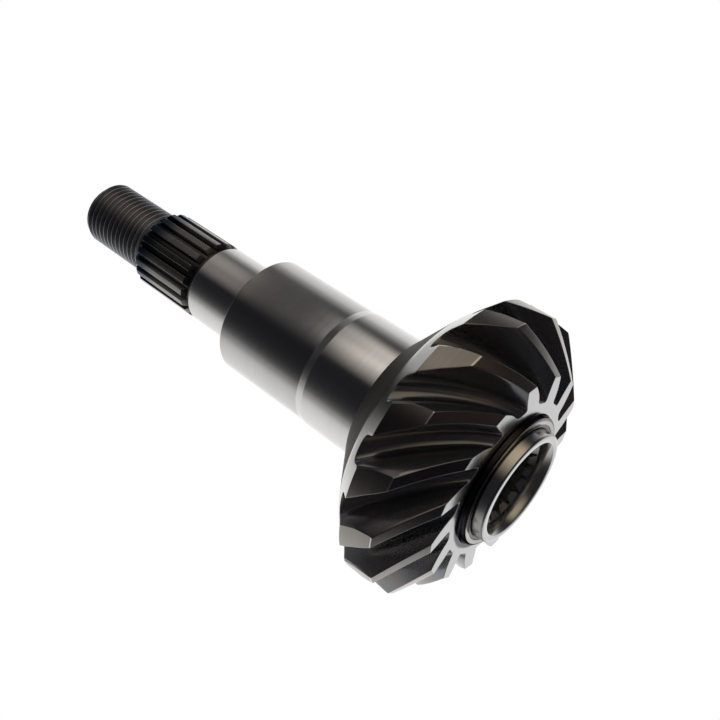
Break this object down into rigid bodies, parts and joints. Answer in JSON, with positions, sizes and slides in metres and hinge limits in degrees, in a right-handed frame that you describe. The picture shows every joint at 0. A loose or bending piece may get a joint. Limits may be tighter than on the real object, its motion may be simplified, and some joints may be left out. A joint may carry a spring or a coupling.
{
  "type": "spiral bevel gear shaft",
  "caption": "One-piece steel spiral bevel gear on a stepped shaft with bearing seats, an outer spline, a threaded end and a splined bore in its front boss.",
  "frame": {"origin": "centre of the boss's front face, on which the shaft stands", "axes": "+Z along the shaft's axis from the boss to the threaded end; -Y towards the camera of the picture"},
  "size_m": [0.0672, 0.0672, 0.1364],
  "materials": {
    "steel": "ground barrels and journals, dark oxide on the threaded end, tooth flanks with a dark blue-brown tint"
  },
  "bodies": {
    "root": {"gear_shaft": "steel"}
  },
  "joints": []
}
